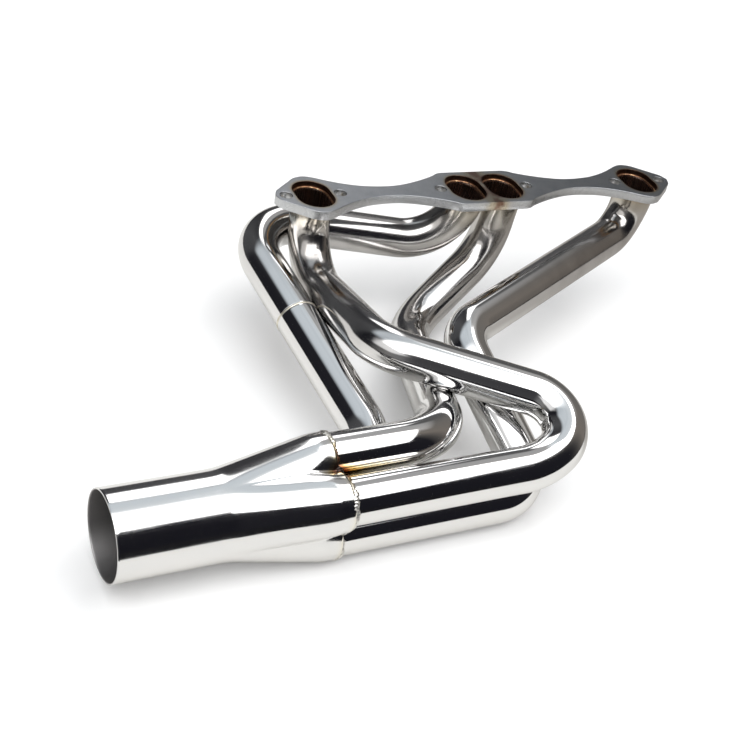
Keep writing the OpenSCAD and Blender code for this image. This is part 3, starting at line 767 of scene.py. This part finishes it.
def makeFlange():
    # the rim and each hole are profiles carried round a loop, and flat faces join their margins
    t, e, portEdge = plate["thickness"], plate["edge"], cornerRound(plate["holeEdge"])
    loop = plateLoop(plate["spacing"])
    normal = outwardOf(loop)
    cut = [0, 0, 0.2, 0.6, 0.9, 1, 1, 0.9, 0.6, 0.2, 0, 0]
    outer = np.array([np.concatenate([loop - normal * d, np.full((len(loop), 1), z)], 1)
                      for d, z in throughProfile(e, 1.0)])
    walls = [(outer, cut, True)]  # grid of rows round the wall, cut mark of each row, whether it is the rim
    for x in plate["boltX"]:
        a = np.linspace(0, 2 * math.pi, 64, endpoint=False)
        grid = [np.stack([x + (plate["boltR"] + d) * np.cos(a), (plate["boltR"] + d) * np.sin(a),
                          np.full(len(a), z)], 1) for d, z in throughProfile(plate["holeEdge"], 0.7)]
        walls.append((np.array(grid), cut, False))
    for x in portX:
        # a port narrows from its mouth (share 0) to the tube's seat (share 1)
        a = np.linspace(0, 2 * math.pi, 128, endpoint=False)
        rMouth, cMouth = plate["portW"] / 2, (plate["portH"] - plate["portW"]) / 2
        rSeat, cSeat = tube["endR"] + plate["seatGap"], tube["endCorner"]
        margin = plate["holeEdge"] + 0.6
        rows = [(0, margin, 0.0)] + [(0, d, z) for d, z in portEdge]
        rows += [(w, 0.0, -plate["mouthDepth"] - plate["taper"] * w) for w in np.linspace(0, 1, 7)]
        rows += [(1, d, -t - z) for d, z in reversed(portEdge)] + [(1, margin, -t)]
        grid = []
        for w, d, z in rows:
            r = obround(a, rMouth + (rSeat - rMouth) * w + d, cMouth + (cSeat - cMouth) * w)
            grid.append(np.stack([x + r * np.cos(a), r * np.sin(a), np.full(len(a), z)], 1))
        walls.append((np.array(grid), [0, 0, 0.1, 0.2] + [0.3] * (len(rows) - 7) + [0.2, 0, 0], False))
    points, faces, marks, base = [], [], [], 0
    loops, ids = {0: [], -1: []}, {0: [], -1: []}
    for grid, cutRow, isRim in walls:
        rows, columns = grid.shape[:2]
        wall = gridFaces(rows, columns, False, True) + base
        faces += (wall[:, ::-1] if isRim else wall).tolist()
        points.append(grid.reshape(-1, 3))
        marks.append(np.repeat(np.array(cutRow, float), columns))
        for row in (0, -1):
            loops[row].append(grid[row])
            ids[row].append(base + (row % rows) * columns + np.arange(columns))
        base += rows * columns
    wallCount = len(faces)
    for row, side in ((0, 1), (-1, -1)):
        tri = np.array(tessellate_polygon([[tuple(v) for v in ring] for ring in loops[row]]))
        allPoints, allIds = np.concatenate(loops[row]), np.concatenate(ids[row])
        a, b, c = allPoints[tri[:, 0]], allPoints[tri[:, 1]], allPoints[tri[:, 2]]
        up = np.cross(b - a, c - a)[:, 2]
        tri = np.where((up * side > 0)[:, None], tri, tri[:, ::-1])
        faces += allIds[tri].tolist()
    makePiece("flange_plate", np.concatenate(points), faces, flangeSteel, ["flange"],
              marks={"cut": np.concatenate(marks)}, flatFaces=np.arange(wallCount, len(faces)))


makeFlange()
print("flange made")

# the plate in the middle of the bundle keeps its own shape
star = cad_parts["collector_star"]
star.data.materials.clear()
star.data.materials.append(weldSteel)


floorZ = cadBox[0][2]
table = {
    "half": 6.0, "cardLift": 0.0002,
    "card": [(-2.0, -0.36), (-0.42, -0.53), (0.0, -0.58), (1.2, -0.70), (1.2, 2.5), (-2.0, 2.5)],
    "shadeX": (-0.15, 0.20), "shadeY": (-0.42, -0.26)
}


def makeSheet(name, corners, z):
    # a flat piece of the stage
    mesh = bpy.data.meshes.new(name)
    mesh.from_pydata([(x, y, z) for x, y in corners], [], [tuple(range(len(corners)))])
    sheet = bpy.data.objects.new(name, mesh)
    bpy.context.scene.collection.objects.link(sheet)
    return sheet


half = table["half"]
floor = makeSheet("floor", [(-half, -half), (half, -half), (half, half), (-half, half)], floorZ)
floorMaterial, m = newMaterial("floorPaintAndGlow")
# the floor glows a little (emission strength 0.16): painted light that lightens the shadows on it
m.finish(m.add("ShaderNodeBsdfPrincipled", inputs={
    "Base Color": (0.86, 0.86, 0.86, 1), "Roughness": 1.0, "Specular IOR Level": 0.0,
    "Emission Color": (1, 1, 1, 1), "Emission Strength": 0.16}).outputs[0])
floor.data.materials.append(floorMaterial)
floor.visible_glossy = False
# only the steel's reflections see this card, a white table top that ends in front of the collector, with a
# painted shade that turns it grey past shadeX and shadeY
card = makeSheet("tableCard", table["card"], floorZ + table["cardLift"])
cardMaterial, m = newMaterial("tableTop")
cx, cy, _ = m.add("ShaderNodeSeparateXYZ", inputs={0: m.add("ShaderNodeTexCoord").outputs["Object"]}).outputs
# painted shade: 1 past shadeX and shadeY, where the card turns grey so the steel reflects a shaded floor
cardPaintedShade = m.math("MULTIPLY", m.mapRange(cx, *table["shadeX"], 0, 1, "SMOOTHSTEP"),
              m.mapRange(cy, *table["shadeY"], 0, 1, "SMOOTHSTEP"))
m.finish(m.add("ShaderNodeBsdfPrincipled", inputs={
    "Base Color": m.mix(cardPaintedShade, (0.84, 0.83, 0.80, 1), (0.42, 0.40, 0.375, 1)), "Roughness": 0.7,
    "Specular IOR Level": 0.1}).outputs[0])
card.data.materials.append(cardMaterial)
card.visible_camera = card.visible_diffuse = card.visible_shadow = False
card.visible_transmission = card.visible_volume_scatter = False

# the room: what shines into the steel is worked out on a ceiling one unit above, at
# (x / z, y / z) of each direction, with soft boxes and hazes on it and a dim room all round
light = {
    "power": 3.4, "bluePower": 0.66, "greyPower": 0.30, "westPower": 0.8, "stripPower": 2.4,
    # each box: x from and to, y from and to, then the softness of those four edges
    "wideBox": ((-0.95, 0.42, -1.03, -0.02), (0.25, 0.01, 0.05, 0.16)),
    "eastBox": ((0.42, 0.72, -0.85, 0.32), (0.01, 0.05, 0.12, 0.08)),
    "blueHaze": ((-0.75, 0.47, -0.02, 0.62), (0.25, 0.05, 0.15, 0.14)),
    "greyHaze": ((0.42, 1.05, 0.20, 1.05), (0.05, 0.25, 0.12, 0.15)),
    "west": ((-2.6, -0.95, -1.6, 0.20), (0.5, 0.3, 0.3, 0.25)),
    # the strip: bearing from and to, height from and to, in degrees
    "strip": (14.0, 31.0, 27.0, 54.0), "bearingSoft": 2, "riseSoft": 3,
    "below": (0.012, 0.012, 0.014, 1), "backdrop": (0.95, 0.95, 0.95, 1),
    # share of the way round, and the colour there
    "room": [(0.0, (0.016, 0.016, 0.020)), (0.06, (0.06, 0.06, 0.065)), (0.12, (0.20, 0.20, 0.205)),
             (0.18, (0.22, 0.215, 0.21)), (0.24, (0.10, 0.10, 0.10)), (0.27, (0.020, 0.020, 0.024)),
             (0.33, (0.014, 0.014, 0.018)), (0.37, (0.065, 0.066, 0.07)), (0.45, (0.085, 0.086, 0.09)),
             (0.52, (0.040, 0.040, 0.044)), (0.56, (0.11, 0.11, 0.115)), (0.62, (0.11, 0.11, 0.11)),
             (0.68, (0.17, 0.16, 0.15)), (0.76, (0.20, 0.178, 0.158)), (0.80, (0.08, 0.075, 0.072)),
             (0.83, (0.014, 0.014, 0.018)), (0.95, (0.010, 0.010, 0.014)), (1.0, (0.016, 0.016, 0.020))]
}
world = bpy.data.worlds.new("studio")
bpy.context.scene.world = world
world.use_nodes = True
m = Maker(world.node_tree)
way = m.add("ShaderNodeTexCoord").outputs["Generated"]
wx, wy, wz = m.add("ShaderNodeSeparateXYZ", inputs={0: way}).outputs
lift = m.math("MAXIMUM", wz, 0.02)
cx, cy = m.math("DIVIDE", wx, lift), m.math("DIVIDE", wy, lift)


def softBox(box, soft):
    # 1 inside a rectangle of the ceiling, with soft edges
    x0, x1, y0, y1 = box
    sides = [m.mapRange(cx, x0 - soft[0], x0 + soft[0], 0, 1, "SMOOTHSTEP"),
             m.mapRange(cx, x1 - soft[1], x1 + soft[1], 1, 0, "SMOOTHSTEP"),
             m.mapRange(cy, y0 - soft[2], y0 + soft[2], 0, 1, "SMOOTHSTEP"),
             m.mapRange(cy, y1 - soft[3], y1 + soft[3], 1, 0, "SMOOTHSTEP")]
    inside = sides[0]
    for side in sides[1:]:
        inside = m.math("MULTIPLY", inside, side)
    return m.math("MULTIPLY", inside, m.math("GREATER_THAN", wz, 0.0))


angle = m.math("ADD", m.math("DIVIDE", m.math("ARCTAN2", wx, wy), 2 * math.pi), 0.5)
room = m.ramp(angle, light["room"])
room = m.mix(m.mapRange(wz, -0.05, 0.0, 0, 1), light["below"], room)


def scaled(colour, factor, power):
    return m.mix(1.0, (*(power * c for c in colour), 1), factor, "MULTIPLY")


total = room
white, blue = (1.0, 1.0, 1.0), (0.86, 0.94, 1.0)
for colour, power, box in ((white, "power", "wideBox"), (white, "power", "eastBox"),
                           (blue, "bluePower", "blueHaze"), (white, "greyPower", "greyHaze"),
                           (white, "westPower", "west")):
    total = m.mix(1.0, total, scaled(colour, softBox(*light[box]), light[power]), "ADD")
# the strip is a tall panel behind the object, set by its bearing and height in degrees
bearing = m.math("DEGREES", m.math("ARCTAN2", wx, wy))
rise = m.math("DEGREES", m.math("ARCSINE", wz))
b0, b1, r0, r1 = light["strip"]
turnSoft, riseSoft = light["bearingSoft"], light["riseSoft"]
panel = m.math("MULTIPLY", m.mapRange(bearing, b0 - turnSoft, b0 + turnSoft, 0, 1, "SMOOTHSTEP"),
               m.mapRange(bearing, b1 - turnSoft, b1 + turnSoft, 1, 0, "SMOOTHSTEP"))
panel = m.math("MULTIPLY", panel, m.mapRange(rise, r0 - riseSoft, r0 + riseSoft, 0, 1, "SMOOTHSTEP"))
panel = m.math("MULTIPLY", panel, m.mapRange(rise, r1 - riseSoft, r1 + riseSoft, 1, 0, "SMOOTHSTEP"))
total = m.mix(1.0, total, scaled(white, panel, light["stripPower"]), "ADD")
# the camera sees a plain backdrop in place of the room
seen = m.add("ShaderNodeLightPath").outputs["Is Camera Ray"]
total = m.mix(seen, total, light["backdrop"])
shader = m.add("ShaderNodeBackground", inputs={0: total, 1: 1.0})
m.add("ShaderNodeOutputWorld", inputs={0: shader.outputs[0]})

camera = bpy.data.cameras.new("camera")
camera.lens, camera.sensor_width = 67.2, 36.0
camera.clip_start, camera.clip_end = 0.05, 50.0
eye = bpy.data.objects.new("camera", camera)
bpy.context.scene.collection.objects.link(eye)
eye.matrix_world = Matrix((
    (0.902954, 0.092642, -0.419632, -0.7287281),
    (-0.389804, 0.587641, -0.709036, -1.0985501),
    (0.180906, 0.803801, 0.566725, 0.6445050),
    (0, 0, 0, 1)))
bpy.context.scene.camera = eye
bpy.context.scene.view_settings.view_transform = "Standard"
print("stage made")
